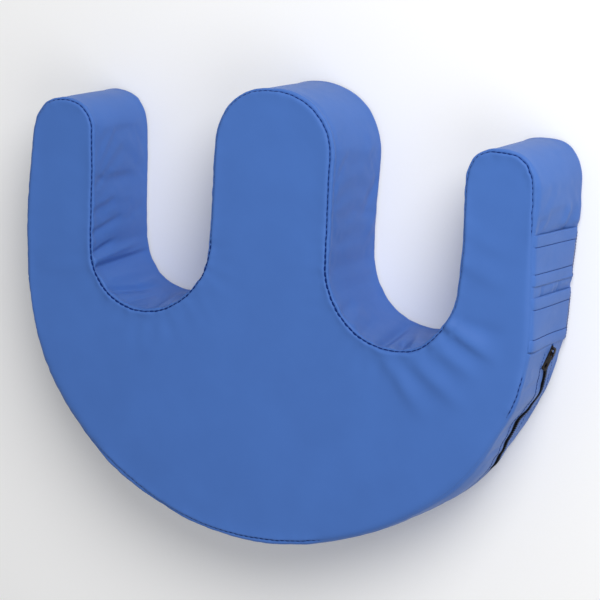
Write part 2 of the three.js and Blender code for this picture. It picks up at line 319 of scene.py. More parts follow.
def wall_base(s, z):
    """Points and outward directions of the side wall. z runs from 0 at the back seam to THICKNESS at the
    front."""
    s, z = np.broadcast_arrays(np.asarray(s, float), np.asarray(z, float))
    place, outward = outline.at(s)
    front = z > MIDDLE
    from_seam = np.where(front, THICKNESS - z, z)
    stray = seam_wander(s) * (1 - from_seam / MIDDLE)
    inward, below, tilt = edge_section(from_seam - stray, read_place(EDGE_ROUND, s))
    height = np.where(front, THICKNESS - below, below)
    out = crown(s, z) - inward
    xy = place + outward * out[..., None]
    up = np.where(front, np.sin(tilt), -np.sin(tilt))
    points = np.concatenate([xy, height[..., None]], -1)
    normal = np.concatenate([outward * np.cos(tilt)[..., None], up[..., None]], -1)
    return points, normal


def panel_base(xy, s, inside, front):
    """Points and outward directions of the front or back panel, for points in the plane."""
    reach = 25
    stray = seam_wander(s) * (1 - smoothstep(inside, 0, reach))
    inward, below, tilt = edge_section(-inside - stray, read_place(EDGE_ROUND, s))
    place, outward = outline.at(s)
    flat = np.where((inside < reach)[:, None], place - outward * inward[:, None], xy)
    fade = 1 - smoothstep(inside, 0, reach)
    flat = flat + outward * (pushed_out(s, THICKNESS if front else 0.0) * fade)[:, None]
    sign = 1 if front else -1
    z = THICKNESS - below if front else below
    points = np.concatenate([flat, z[:, None]], 1)
    normal = np.concatenate([outward * np.cos(tilt)[:, None], sign * np.sin(tilt)[:, None]], 1)
    return points, normal


# ---- meshes ----

def new_object(name, points, faces, smooth=True):
    """A mesh object from points in millimetres."""
    mesh = bpy.data.meshes.new(name)
    mesh.from_pydata((np.asarray(points) * MM).tolist(), [], [list(f) for f in faces])
    mesh.update()
    mesh.shade_smooth() if smooth else mesh.shade_flat()
    obj = bpy.data.objects.new(name, mesh)
    bpy.context.scene.collection.objects.link(obj)
    return obj


def grid_faces(rows, columns, closed):
    """Quads of a grid of points stored row by row; closed joins the last column to the first."""
    j, i = np.meshgrid(np.arange(rows - 1), np.arange(columns if closed else columns - 1), indexing="ij")
    k = (i + 1) % columns
    quads = [j * columns + i, j * columns + k, (j + 1) * columns + k, (j + 1) * columns + i]
    return np.stack([q.ravel() for q in quads], 1)


def panel_layout(rings, spacing, clear):
    """Points for a flat panel, with triangles: rings (distance inside, columns) by the outline, then a
    grid."""
    s, inside = [], []
    for distance, columns in rings:
        s.append(outline.length * np.arange(columns) / columns)
        inside.append(np.full(columns, float(distance)))
    s, inside = np.concatenate(s), np.concatenate(inside)
    place, outward = outline.at(s)
    ring_xy = place - outward * inside[:, None]
    low, high = outline.points.min(0), outline.points.max(0)
    rows = np.arange(low[1], high[1], spacing * math.sqrt(3) / 2)
    grid = [
        [x + (j % 2) * spacing / 2, y]
        for j, y in enumerate(rows)
        for x in np.arange(low[0], high[0], spacing)
    ]
    grid = np.array(grid)
    grid_s, grid_inside = outline.nearest(grid)
    keep = grid_inside > clear
    xy = np.concatenate([ring_xy, grid[keep]])
    loop = list(range(rings[0][1]))
    result = delaunay_2d_cdt([Vector(p) for p in xy], [], [loop], 1, 1e-6)
    order = [ids[0] for ids in result[3]]
    triangles = [[order[v] for v in face] for face in result[2]]
    return xy, np.concatenate([s, grid_s[keep]]), np.concatenate([inside, grid_inside[keep]]), triangles


# ---- the cover's cloth simulation ----

SIM_ROWS = 25
SIM_RINGS = [(0, STITCHES), (5, STITCHES), (10, STITCHES)]
SIM_SPACING = 5
SIM_FRAMES = 16


def shell_mesh():
    """The whole cover as one closed mesh: wall rows from back to front, then the front and the back
    panel."""
    s = outline.length * np.arange(STITCHES) / STITCHES
    z = np.linspace(0, THICKNESS, SIM_ROWS)
    wall, _ = wall_base(s[None, :], z[:, None])
    points = [wall.reshape(-1, 3)]
    faces = grid_faces(SIM_ROWS, STITCHES, True).tolist()
    xy, panel_s, inside, triangles = panel_layout(SIM_RINGS, SIM_SPACING, 13.5)
    total = SIM_ROWS * STITCHES
    starts = {}
    for front in (True, False):
        seam = (SIM_ROWS - 1) * STITCHES if front else 0
        base, _ = panel_base(xy, panel_s, inside, front)
        points.append(base[STITCHES:])
        shift = total - STITCHES
        for tri in triangles:
            face = [seam + v if v < STITCHES else shift + v for v in tri]
            faces.append(face if front else face[::-1])
        starts[front] = total
        total += len(base) - STITCHES
    return np.concatenate(points), faces, starts, (xy, panel_s, inside)


def hold_weights(points, starts, layout):
    """How firmly each point is held to its place: the foam holds the faces, and less so near the seams."""
    weights = np.full(len(points), 0.25)
    _, _, inside = layout
    for start in starts.values():
        near = inside[STITCHES:]
        weights[start:start + len(near)] = 0.2 + 0.6 * smoothstep(near, 10, 90)
    return weights


def run_cloth(obj, hold, seam):
    """Runs the simulation on a mesh object and returns its points in millimetres."""
    for name, weights in (("hold", hold), ("seam", seam)):
        group = obj.vertex_groups.new(name=name)
        for value in np.unique(np.round(weights, 2)):
            chosen = np.flatnonzero(np.abs(weights - value) < 0.006)
            group.add(chosen.tolist(), float(value), "REPLACE")
    cloth = obj.modifiers.new("Cloth", "CLOTH")
    settings = cloth.settings
    settings.quality = 6
    settings.mass = 0.15
    settings.air_damping = 2
    settings.tension_stiffness = settings.compression_stiffness = 20
    settings.shear_stiffness = 8
    settings.bending_stiffness = 3
    settings.tension_damping = settings.compression_damping = settings.shear_damping = 8
    settings.use_pressure = True
    settings.uniform_pressure_force = 3
    settings.effector_weights.gravity = 0
    settings.vertex_group_mass = "hold"
    settings.pin_stiffness = 1
    settings.vertex_group_shrink = "seam"
    settings.shrink_min = -0.008
    settings.shrink_max = 0.04
    cloth.point_cache.frame_start = 1
    cloth.point_cache.frame_end = SIM_FRAMES
    scene = bpy.context.scene
    for step in range(1, SIM_FRAMES + 1):
        scene.frame_set(step)
    graph = bpy.context.evaluated_depsgraph_get()
    shaped = obj.evaluated_get(graph).to_mesh()
    points = np.empty(len(shaped.vertices) * 3)
    shaped.vertices.foreach_get("co", points)
    obj.evaluated_get(graph).to_mesh_clear()
    scene.frame_set(1)
    return points.reshape(-1, 3) / MM


def curve_weights(t):
    return [
        ((2 - t) * t - 1) * t / 2,
        ((3 * t - 5) * t * t + 2) / 2,
        ((4 - 3 * t) * t + 1) * t / 2,
        (t - 1) * t * t / 2,
    ]


def resampled(values, rows, columns):
    """A grid of vectors, closed across its columns, read along smooth curves at the given columns, and at
    the given row of each point of the result."""
    whole = np.floor(columns).astype(int)
    across = 0
    for k, weight in enumerate(curve_weights(columns - whole)):
        across = across + values[:, (whole + k - 1) % values.shape[1]] * weight[None, :, None]
    whole = np.floor(rows).astype(int)
    result = 0
    for k, weight in enumerate(curve_weights(rows - whole)):
        index = np.clip(whole + k - 1, 0, len(values) - 1)
        result = result + np.take_along_axis(across, index[..., None], 0) * weight[..., None]
    return result


def limited(shift, limit):
    size = np.linalg.norm(shift, axis=-1, keepdims=True)
    limit = np.asarray(limit, float)[..., None] if np.ndim(limit) else limit
    return shift * limit * np.tanh(size / limit) / np.maximum(size, 1e-9)


def without_drift(row, reach=9):
    """A seam's own small waves: the broad movement along it, averaged over reach stitches each way, is
    taken out."""
    wrapped = np.concatenate([row[-reach:], row, row[:reach]])
    window = np.full(2 * reach + 1, 1 / (2 * reach + 1))
    return row - np.stack([np.convolve(column, window, "valid") for column in wrapped.T], 1)


class ClothShift:
    """How far the simulation moves the cover from its plain shape."""

    REACH = 11

    def __init__(self):
        self.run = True
        if not self.run:
            return
        points, faces, starts, layout = shell_mesh()
        shell = new_object("cloth_shell", points, faces)
        seam = np.zeros(len(points))
        seam[:STITCHES] = 1
        seam[(SIM_ROWS - 1) * STITCHES:SIM_ROWS * STITCHES] = 1
        shift = run_cloth(shell, hold_weights(points, starts, layout), seam) - points
        bpy.data.objects.remove(shell)
        self.wall = shift[:SIM_ROWS * STITCHES].reshape(SIM_ROWS, STITCHES, 3)
        for row in (0, -1):
            self.wall[row] = without_drift(self.wall[row])
        self.xy = layout[0]
        self.panel, self.tree = {}, KDTree(len(self.xy))
        for i, (x, y) in enumerate(self.xy):
            self.tree.insert((x, y, 0), i)
        self.tree.balance()
        for front, start in starts.items():
            seam_row = self.wall[-1 if front else 0]
            self.panel[front] = np.concatenate([seam_row, shift[start:start + len(self.xy) - STITCHES]])

    def on_wall(self, s, z):
        """For a grid of heights z, with a column for each place s."""
        if not self.run:
            return np.zeros((*z.shape, 3))
        return resampled(self.wall, z / THICKNESS * (SIM_ROWS - 1), s / outline.length * STITCHES)

    def on_panel(self, xy, front):
        if not self.run:
            return np.zeros((len(xy), 3))
        result = np.zeros((len(xy), 3))
        for i, (x, y) in enumerate(xy):
            total = 0.0
            for _, k, distance in self.tree.find_range((x, y, 0), self.REACH):
                weight = (1 - (distance / self.REACH) ** 2) ** 2
                result[i] += weight * self.panel[front][k]
                total += weight
            result[i] /= max(total, 1e-9)
        return result


# ---- folds ----

# Each fold: start, end, height (under 0 for a crease), and its reach to the left and right of the way
# along it. On the side wall a point is (place along the outline, height above the back face).
WALL_FOLDS = [
    # left notch: creases that fan out from its seam
    ((1396, 118), (1392, 2), -2.2, 6, 9),
    ((1360, 120), (1372, 60), -1.8, 4, 8),
    ((1336, 122), (1352, 50), -2.6, 3.5, 7),
    ((1312, 124), (1326, 66), -3.2, 3, 5),
    ((1305, 126), (1316, 10), 2.4, 5, 4),
    ((1298, 130), (1302, -14), -4.4, 2.6, 7),
    ((1282, 112), (1278, 10), 1.6, 6, 7),
    ((1270, 118), (1251, 26), -3.4, 3.5, 6),
    ((1262, 60), (1266, 10), 1.8, 5, 6),
    ((1246, 116), (1240, 50), -1.6, 3.5, 5),
    ((1204, 118), (1226, 4), 2.0, 4, 5),
    ((1214, 112), (1240, 10), -1.6, 4, 5),
    # right notch: a V of folds at its bottom
    ((542, 126), (556, 4), -5.2, 6, 4.5),
    ((521, 118), (534, 70), -3.6, 4, 5),
    ((504, 116), (540, 8), 5.0, 8, 9),
    ((495, 120), (499, 70), -2.6, 3, 5),
    ((484, 118), (500, 50), 1.8, 5, 5),
    ((566, 118), (582, 52), -1.8, 5, 8),
    ((580, 118), (600, 60), 1.4, 6, 6),
    ((596, 116), (610, 70), -1.3, 5, 7),
    # centre prong, right side: a ridge and a crease beside the seam, and slanting wrinkles near the back
    ((880, 115), (640, 115), 0.9, 3, 3),
    ((868, 108), (650, 108), -1.1, 3, 3.5),
    ((738, 4), (690, 42), -2.0, 7, 8),
    ((704, -2), (664, 32), 1.8, 7, 8),
    ((790, 20), (740, 50), 1.0, 12, 12),
    # right side: the band bulges over the upper strap, and shows small folds between the straps
    ((133, 46), (163, 38), 2.8, 8, 5),
    ((132, 108), (146, 96), -1.4, 8, 8),
    ((128, 40), (152, 20), -1.8, 8, 8),
    ((132, 12), (162, 10), 1.4, 10, 10),
    ((64, 92), (80, 92), -1.4, 4, 3),
    ((64, 62), (80, 64), 1.0, 4, 3),
    ((64, 45), (80, 44), -1.3, 3, 3),
    # a hollow beside the zip's far end, which leaves room for the pull
    ((1812, 50.5), (1726, 51.5), -2.5, 6.5, 9),
]

# On the front face a point is (x, y), in the pad's frame.
FACE_FOLDS = [
    # from the right notch, outwards and down
    ((203, 28), (272, -8), 4.2, 11, 5.5),
    ((218, 30), (284, 20), -1.8, 8, 10),
    ((184, 8), (256, -30), 2.8, 9, 9),
    ((162, -8), (240, -64), 3.2, 10, 9),
    ((132, -4), (198, -84), 3.2, 11, 9),
    # across the right prong
    ((214, 130), (288, 102), 1.5, 13, 9),
    ((214, 97), (282, 68), 1.5, 13, 9),
    ((226, 130), (286, 104), -0.9, 14, 12),
    # below and beside the left notch
    ((-134, 2), (-212, -54), 1.3, 10, 9),
    ((-212, 32), (-280, 18), 1.0, 7, 8),
    ((-120, -24), (-150, -76), 0.7, 10, 10),
]


def fold_height(u, v, start, end, height, left, right):
    """One fold's height at the points (u, v)."""
    start, end = np.array(start, float), np.array(end, float)
    length = np.linalg.norm(end - start)
    axis = (end - start) / length
    along = ((u - start[0]) * axis[0] + (v - start[1]) * axis[1]) / length
    across = (v - start[1]) * axis[0] - (u - start[0]) * axis[1]
    fade = smoothstep(along, -0.06, 0.18) * (1 - smoothstep(along, 0.5, 1.06))
    return height * fade * np.exp(-(across / np.where(across > 0, left, right)) ** 2)


def folds(places, u, v):
    return sum(fold_height(u, v, *fold) for fold in places)


def waves(points, scale, seed):
    """Smooth, even unevenness, about -1 to 1."""
    shift = Vector((seed * 7.3, seed * 3.1, seed * 5.7))
    values = [noise.noise(Vector(p) / scale + shift) for p in points.reshape(-1, 3)]
    return np.array(values).reshape(points.shape[:-1])


# ---- the sewn edges ----

GROOVE_DEPTH, GROOVE_REACH = 1.8, 1.3
GROOVE_FILL = 0.6
BACK_PUCKERS = 0.4
PILLOW_HEIGHT, PILLOW_AT = 1.0, 2.8


def seam_relief(s, from_seam):
    """The cover's height beside a seam: a groove under each stitch, filled between stitches, and pillows
    beside it."""
    between = (0.5 + 0.5 * np.cos(2 * np.pi * s / STITCH)) ** 2
    groove = -GROOVE_DEPTH * (1 - GROOVE_FILL * between) * np.exp(-(from_seam / GROOVE_REACH) ** 2)
    step = from_seam / PILLOW_AT
    return groove + PILLOW_HEIGHT * step * np.exp(1 - step)


def seam_puckers(s, from_seam, seed):
    """Uneven little bulges along a seam, where the cloth is gathered, for a seam of full strength."""
    place, _ = outline.at(s)
    places = np.concatenate([place / 9, (from_seam / 16 + seed)[..., None]], -1)
    height = 0.6 + 1.2 * notch_weight(s)
    return height * waves(places, 1, seed) * np.exp(-(from_seam / 11) ** 2) * smoothstep(from_seam, 0, 3)


# ---- the cover's finished surface ----

COLUMNS = STITCHES * COLUMNS_PER_STITCH
JOIN_DEG = -9.3
JOIN_RIGHT = round(float(place_at(JOIN_DEG)) / outline.length * COLUMNS)
JOIN_LEFT = round(float(place_at(-180 - JOIN_DEG)) / outline.length * COLUMNS)
NEAR_SEAM = np.array([0, 0.7, 1.5, 2.6, 4.0, 5.8, 8.2])
TOPSTITCH_OFFSET = 15
SLOT_EDGE_R = 1.2
STRAPS = {"upper": [18, 71], "lower": [-50, 6]}
# How much of the simulation's movement is used, and how far from a seam the wall keeps the seam's own
# movement.
SEAM_CLOTH, WALL_CLOTH, FACE_CLOTH, NOTCH_CLOTH = 0.5, 0.4, 0.15, 0.5
SEAM_HOLD = 25
COVER_CLOTH = 1.0


def column_places(first, last):
    """Places along the outline of a run of columns, both ends included."""
    return outline.length * np.arange(first, last + 1) / COLUMNS


def slot_half(s):
    """Half the width between the rounded edges of the two bands over the zip."""
    return read_along(SLOT_HALF, rocker_angle(s)) + SLOT_EDGE_R


def notch_weight(s):
    right = smoothstep(s, 430, 490) * (1 - smoothstep(s, 640, 700))
    left = smoothstep(s, 1060, 1110) * (1 - smoothstep(s, 1300, 1350))
    return right + left


def seam_shift(cloth, s, z):
    return limited(SEAM_CLOTH * cloth.on_wall(s, np.full((1, len(s)), float(z)))[0], 1.2)


def wall_surface(cloth, s, z):
    """The finished side wall, at a grid of heights z with a column for each place s: points and
    directions."""
    base, normal = wall_base(s[None, :], z)
    shift = limited(WALL_CLOTH * cloth.on_wall(s, z), 2.4)
    for seam_z in (0, THICKNESS):
        near = 1 - smoothstep(np.abs(z - seam_z), 0, SEAM_HOLD)
        shift = mixed(shift, seam_shift(cloth, s, seam_z)[None], near[..., None])
    places = s[None] + 0 * z
    from_seam = np.minimum(z, THICKNESS - z)
    softer = read_place(STITCH_SHOW, places)
    relief = seam_relief(places, from_seam) * softer
    free = smoothstep(from_seam, 0, 5)
    relief += seam_puckers(places, from_seam, 1) * softer * np.where(z > MIDDLE, 1, BACK_PUCKERS)
    relief += free * smoothstep(z, 0, 12) * folds(WALL_FOLDS, places, z)
    relief += free * 0.45 * waves(base, 45, 2) + free * 0.15 * waves(base, 18, 3)
    for join in (JOIN_RIGHT, JOIN_LEFT):
        away = np.abs(places - outline.length * join / COLUMNS)
        relief += seam_relief(places * 0, np.minimum(away, outline.length - away)) * 0.6 * free
    return base + shift + normal * relief[..., None], normal


def wall_heights():
    """Rows of the side wall from back to front, closer together beside the seams."""
    middle = np.linspace(NEAR_SEAM[-1], THICKNESS - NEAR_SEAM[-1], 36)
    return np.concatenate([NEAR_SEAM[:-1], middle, (THICKNESS - NEAR_SEAM[:-1])[::-1]])


def thicken(obj, amount):
    """Gives a sheet its thickness, inwards."""
    solid = obj.modifiers.new("thickness", "SOLIDIFY")
    solid.thickness = amount * MM
    solid.offset = -1
    solid.use_rim = True
    return obj


def make_prong_band(cloth):
    s = column_places(JOIN_RIGHT, JOIN_LEFT)
    z = wall_heights()[:, None] + 0 * s[None]
    points, _ = wall_surface(cloth, s, z)
    return new_object("prong_band_cover", points.reshape(-1, 3), grid_faces(len(z), len(s), False))


def zip_height(s):
    return read_along(ZIP_LINE, rocker_angle(s))


def squeezed(s):
    """1 where the zip is squeezed out to the cover's surface and tilts back towards the front face."""
    return smoothstep(read_along(ZIP_RISE, rocker_angle(s)), 1.1, 1.7)


def make_zip_band(cloth, side, sign):
    """The band between a seam and the zip: the front one (sign 1) or the back one (-1)."""
    s = column_places(JOIN_LEFT, COLUMNS + JOIN_RIGHT)
    edge = zip_height(s) + sign * slot_half(s)
    seam_z = THICKNESS if sign > 0 else 0
    span = np.abs(seam_z - edge)
    near_slot = np.array([5.5, 3.6, 2, 0.9, 0])
    middle = np.linspace(0, 1, 17)[1:-1, None]
    start, end = NEAR_SEAM[-1], span - near_slot[0]
    distance = np.concatenate([
        NEAR_SEAM[:, None] + 0 * span[None],
        start + (end - start)[None] * middle,
        span[None] - near_slot[:, None],
    ])
    z = seam_z - sign * distance
    points, normal = wall_surface(cloth, s, z)
    from_slot = span[None] - distance
    by_zip = 0.8 - 0.7 * squeezed(s) if sign > 0 else 0.8
    raised = by_zip * (1 - smoothstep(from_slot, TOPSTITCH_OFFSET - 4, TOPSTITCH_OFFSET + 1))
    sewn = -0.3 * np.exp(-((from_slot - TOPSTITCH_OFFSET + SLOT_EDGE_R) / 1.6) ** 2)
    raised *= smoothstep(distance, 8, 20)
    points += normal * (raised + sewn * smoothstep(distance, 5, 12))[..., None]
    rows = [points]
    out = normal[-1]
    to_slot = np.array([0, 0, -float(sign)])
    centre = points[-1] - out * SLOT_EDGE_R
    for degrees in (25, 50, 75, 100):
        turn = math.radians(degrees)
        rows.append((centre + SLOT_EDGE_R * (out * math.cos(turn) + to_slot * math.sin(turn)))[None])
    rows.append((centre + to_slot * SLOT_EDGE_R * 0.8 - out * 3)[None])
    points = np.concatenate(rows)
    faces = grid_faces(len(points), len(s), False)
    if sign > 0:
        faces = faces[:, ::-1]
    return new_object(f"zip_band_{side}_cover", points.reshape(-1, 3), faces)


def make_panel(cloth, name, front):
    rings = [(0, 4), (0.7, 4), (1.5, 4), (2.6, 4), (4, 2), (5.8, 2), (8.2, 2), (11.5, 1)]
    rings = [(distance, STITCHES * columns) for distance, columns in rings]
    xy, s, inside, triangles = panel_layout(rings, 4.2, 15)
    base, normal = panel_base(xy, s, inside, front)
    order = np.argsort(s)
    at_seam = np.empty((len(s), 3))
    at_seam[order] = seam_shift(cloth, s[order], THICKNESS if front else 0)
    gain = FACE_CLOTH + NOTCH_CLOTH * notch_weight(s) * (1 - smoothstep(inside, 15, 70))
    shift = limited(gain[:, None] * cloth.on_panel(xy, front), 2.0)
    shift = mixed(at_seam, shift, smoothstep(inside, 0, 10)[..., None])
    softer = read_place(STITCH_SHOW, s)
    relief = (seam_relief(s, inside) + seam_puckers(s, inside, 4) * (1 if front else BACK_PUCKERS)) * softer
    free = smoothstep(inside, 0, 5)
    if front:
        relief += free * folds(FACE_FOLDS, xy[:, 0], xy[:, 1])
    relief += free * 0.8 * waves(base, 110, 5) + free * 0.2 * waves(base, 30, 6)
    points = base + shift + normal * relief[:, None]
    points[:, 2] = np.maximum(points[:, 2], 0)
    faces = triangles if front else [t[::-1] for t in triangles]
    return new_object(name, points, faces)


# ---- threads ----

def tubes(paths, normals, radii, sides=6):
    """Separate little tubes: each has its own row of points, with a radius at each of them. Ends are
    closed."""
    paths, normals = np.asarray(paths, float), np.asarray(normals, float)
    count, steps, _ = paths.shape
    tangent = np.gradient(paths, axis=1)
    tangent /= np.linalg.norm(tangent, axis=2, keepdims=True)
    side = np.cross(tangent, normals)
    side /= np.linalg.norm(side, axis=2, keepdims=True)
    up = np.cross(side, tangent)
    radii = np.broadcast_to(radii, (count, steps))
    angle = 2 * np.pi * np.arange(sides) / sides
    ring = side[:, :, None] * np.cos(angle)[:, None] + up[:, :, None] * np.sin(angle)[:, None]
    points = paths[:, :, None] + ring * radii[:, :, None, None]
    one = grid_faces(steps, sides, True)
    whole = (one[None] + (np.arange(count) * steps * sides)[:, None, None]).reshape(-1, 4).tolist()
    for k in range(count):
        first = k * steps * sides
        whole.append(list(range(first, first + sides))[::-1])
        whole.append(list(range(first + (steps - 1) * sides, first + steps * sides)))
    return points.reshape(-1, 3), whole


STITCH_SHAPE = np.array([0, 0.09, 0.24, 0.5, 0.76, 0.91, 1])


def stitches(name, surface, starts, pitch, radius, lift, dip, gap=0.04):
    """A row of stitches. surface(places) gives points and directions along the sewing line; each stitch
    runs from its needle hole to the next, less a gap at each end, lifted in its middle and dipping in
    at its ends."""
    places = np.asarray(starts, float)[:, None] + pitch * (gap + (1 - 2 * gap) * STITCH_SHAPE[None])
    points, normals = surface(places.ravel())
    points = points.reshape(*places.shape, 3)
    normals = normals.reshape(*places.shape, 3)
    arch = np.sin(np.pi * STITCH_SHAPE) ** 0.6
    height = -dip + (lift + dip) * arch
    points = points + normals * height[None, :, None]
    taper = np.array([0.55, 0.85, 1, 1, 1, 0.85, 0.55])
    return new_object(name, *tubes(points, normals, np.multiply.outer(radius * np.ones(len(places)), taper)))


SUNK_DEPTH = 2


def seam_line(cloth, z):
    def surface(places):
        order = np.argsort(places)
        grid = np.full((1, len(places)), float(z))
        points, normals = wall_surface(cloth, places[order], grid)
        back = np.argsort(order)
        in_notch = notch_weight(places) * (z > MIDDLE)
        tilted = mixed(normals[0][back], np.array([0, 0, 1]), 0.4 * in_notch[:, None])
        tilted /= np.linalg.norm(tilted, axis=1, keepdims=True)
        rise = 1.0 * in_notch - SUNK_DEPTH * (1 - read_place(STITCH_SHOW, places))
        return points[0][back] + tilted * rise[:, None], tilted
    return surface


def make_seam_thread(cloth, name, z):
    starts = STITCH * np.arange(STITCHES)
    radius = 0.62 + 0.42 * notch_weight(starts)
    return stitches(name, seam_line(cloth, z), starts, STITCH, radius, 1.15, 0.8, 0.13)


# ---- hand straps ----

HEM = 12.5
STRAP_CLOTH = 0.8
STRAP_BOW = 0.4
STRAP_SLANT = 0.04
STRAP_LAYERS = (0.5, 1.3)
HEM_STITCH = 3.4
END_ROW = 5.5


def strap_section(width):
    """Points across a strap and their heights over its underside: a hem, its fold, the top, a fold and a
    hem."""
    under, top = STRAP_LAYERS
    fold = (top - under) / 2
    hem = np.linspace(HEM, fold, 6)
    turn = np.radians([150, 180, 210])[::-1]
    edge = [[fold + fold * math.cos(t), under + fold - fold * math.sin(t)] for t in turn]
    by_stitch = HEM + np.array([-2.5, -1.2, -0.5, 0, 0.5, 1.2, 2.5])
    flat = np.arange(HEM + 5, width / 2 - 1, 2.5)
    half = np.concatenate([[fold, 1.5, 3.5, 6], by_stitch, flat, [width / 2]])
    sewn = np.exp(-((half - HEM) / 0.8) ** 2)
    full = bump(half, 6, 6)
    height = top + 0.35 * full - 0.6 * sewn - 0.35 * smoothstep(half, HEM, HEM + 4)
    left = [*zip(hem, np.full(6, under)), *edge, *zip(half, height)]
    right = [(width - a, h) for a, h in left[-2::-1]]
    return np.array(left + right)


def strap_start(level, side):
    """The place of the strap's lower edge along the outline, and which way its width runs from there."""
    shoulder_y = -math.sqrt((ARC_R - SHOULDER_R) ** 2 - (HALF_WIDTH - SHOULDER_R) ** 2)
    start = outline.arcs[SHOULDER][1] + STRAPS[level][0] - shoulder_y
    return (start, 1) if side == "right" else (outline.arcs[SHOULDER_LEFT][1] - start, -1)


def strap_surface(level, side, across, height, z):
    """Points and directions on a strap that is sewn into both seams and stands a little off the wall
    between."""
    start, way = strap_start(level, side)
    base, normal = wall_base(start + way * (across + STRAP_SLANT * (z - MIDDLE)), z)
    middle = np.clip(np.abs(z - MIDDLE) / MIDDLE, 0, 1)
    lift = STRAP_BOW * (1 - middle ** 5) - 2.4 * middle ** 12
    slack = 0.5 * np.sin(across / 9 + start) * np.sin(z / 19 + start) * (1 - middle ** 4)
    return base + normal * (lift + slack + height)[..., None], normal


def make_strap(level, side):
    width = STRAPS[level][1] - STRAPS[level][0]
    section = strap_section(width)
    near_end = np.array([0, 1, 2.2, 3.6, 5.4, 7.6])
    z = np.concatenate([near_end, np.linspace(10, THICKNESS - 10, 41), THICKNESS - near_end[::-1]])
    points, _ = strap_surface(level, side, section[None, :, 0], section[None, :, 1], z[:, None])
    faces = grid_faces(len(z), len(section), False)
    if side == "left":
        faces = faces[:, ::-1]
    strap = new_object(f"{side}_{level}_strap_cloth", points.reshape(-1, 3), faces)
    solid = strap.modifiers.new("thickness", "SOLIDIFY")
    solid.thickness = STRAP_CLOTH * MM
    solid.offset = 0
    return strap


def make_hem_thread(level, side, edge):
    width = STRAPS[level][1] - STRAPS[level][0]
    across = HEM if edge == "low" else width - HEM
    top = STRAP_LAYERS[1] + STRAP_CLOTH / 2 - 0.5

    def surface(z):
        return strap_surface(level, side, across + 0 * z, top + 0 * z, z)

    starts = np.arange(5, THICKNESS - 5 - HEM_STITCH, HEM_STITCH)
    return stitches(f"{side}_{level}_strap_stitches_{edge}", surface, starts, HEM_STITCH, 0.36, 0.15, 0.4)


def make_end_thread(level, side):
    """The stitches across a strap's back end, beside the back seam."""
    width = STRAPS[level][1] - STRAPS[level][0]
    top = STRAP_LAYERS[1] + STRAP_CLOTH / 2

    def surface(across):
        return strap_surface(level, side, across, top + 0 * across, END_ROW + 0 * across)

    starts = np.arange(1, width - 1 - HEM_STITCH, HEM_STITCH)
    return stitches(f"{side}_{level}_strap_stitches_end", surface, starts, HEM_STITCH, 0.42, 0.3, 0.1)


# ---- the zip ----

COIL_PITCH = 2.0
COIL_R = 0.45
ZIP_TILT = 0.16
FULL_RISE, TUCKED_FROM = 2.6, 4.5
TAPE = {"near": 0.8, "far": 12, "top": 2.3, "bottom": 3.1}
TAPE_DEG = (-9.5, -170.5)
COIL_DEG = (-10, -163)


def on_zip(s, across, depth):
    """Points and directions by the zip: a distance across it towards the front face, and a depth under
    the cover."""
    base, normal = wall_base(s, zip_height(s) + across)
    rise = read_along(ZIP_RISE, rocker_angle(s))
    tucked = 1.5 * np.clip(rise / FULL_RISE, 0, 1) * np.maximum(-across - TUCKED_FROM, 0)
    tilt = ZIP_TILT * np.where(across > 0, squeezed(s) * across, tucked)
    return base - normal * (depth - rise + tilt)[..., None], normal


def zip_places(degrees, step):
    first, last = (float(place_at(d)) for d in degrees)
    first += outline.length if first < last else 0
    return np.linspace(first, last, int(abs(first - last) / step) + 1)


def make_tape(side, sign):
    """One of the zip's two tapes, with a corded edge beside the coil."""
    near, far, top, bottom = TAPE["near"], TAPE["far"], TAPE["top"], TAPE["bottom"]
    middle = (top + bottom) / 2
    ring = [(near, middle), (near + 0.5, top - 0.2), (near + 2, top - 0.2), (near + 2.8, top)]
    ring += [(far - 0.3, top), (far, middle), (far - 0.3, bottom), (near + 0.5, bottom)]
    ring = np.array(ring)
    s = zip_places(TAPE_DEG, 3)
    places = s[:, None] + 0 * ring[None, :, 0]
    points, _ = on_zip(places, sign * ring[None, :, 0], ring[None, :, 1] + 0 * places)
    faces = grid_faces(len(s), len(ring), True).tolist()
    faces.append(list(range(len(ring)))[::-1])
    faces.append(list(range((len(s) - 1) * len(ring), len(s) * len(ring))))
    if sign < 0:
        faces = [f[::-1] for f in faces]
    return new_object(f"zip_tape_{side}_cloth", points.reshape(-1, 3), faces)


def make_coil(side, sign):
    """One side's row of coil turns. Each turn loops from the tape, round a head at the zip's middle, and
    back."""
    loop = [(2.9, 1.95), (1.6, 1.95), (0.5, 1.9), (-0.35, 1.55)]
    loop += [(-0.35, 1.0), (0.5, 0.6), (1.6, 0.5), (2.9, 0.6)]
    loop = np.array(loop)
    s = zip_places(COIL_DEG, COIL_PITCH) + (COIL_PITCH / 2 if sign < 0 else 0)
    along = np.linspace(-0.2, 0.25, len(loop)) * COIL_PITCH
    places = s[:, None] + along[None]
    points, normals = on_zip(places, sign * loop[None, :, 0] + 0 * places, loop[None, :, 1] + 0 * places)
    across = np.broadcast_to([0, 0, float(sign)], normals.shape)
    turns = tubes(points, np.cross(across, normals), np.full(len(loop), COIL_R))
    return new_object(f"zip_coil_{side}_turns", *turns)


def make_topstitch(cloth, side, sign):
    """The stitches that hold a zip band to its tape."""
    pitch = 4.0
    s = zip_places((JOIN_DEG - 1, -179 - JOIN_DEG), pitch)[1:-1]

    def surface(places):
        order = np.argsort(places)
        sorted_places = places[order]
        away = slot_half(sorted_places) + TOPSTITCH_OFFSET - SLOT_EDGE_R
        z = (zip_height(sorted_places) + sign * away)[None]
        points, normals = wall_surface(cloth, sorted_places, z)
        back = np.argsort(order)
        return (points + normals * 0.05)[0][back], normals[0][back]

    return stitches(f"zip_topstitches_{side}", surface, s - pitch, pitch, 0.3, 0.3, 0.4)


# ---- the slider and its pull ----

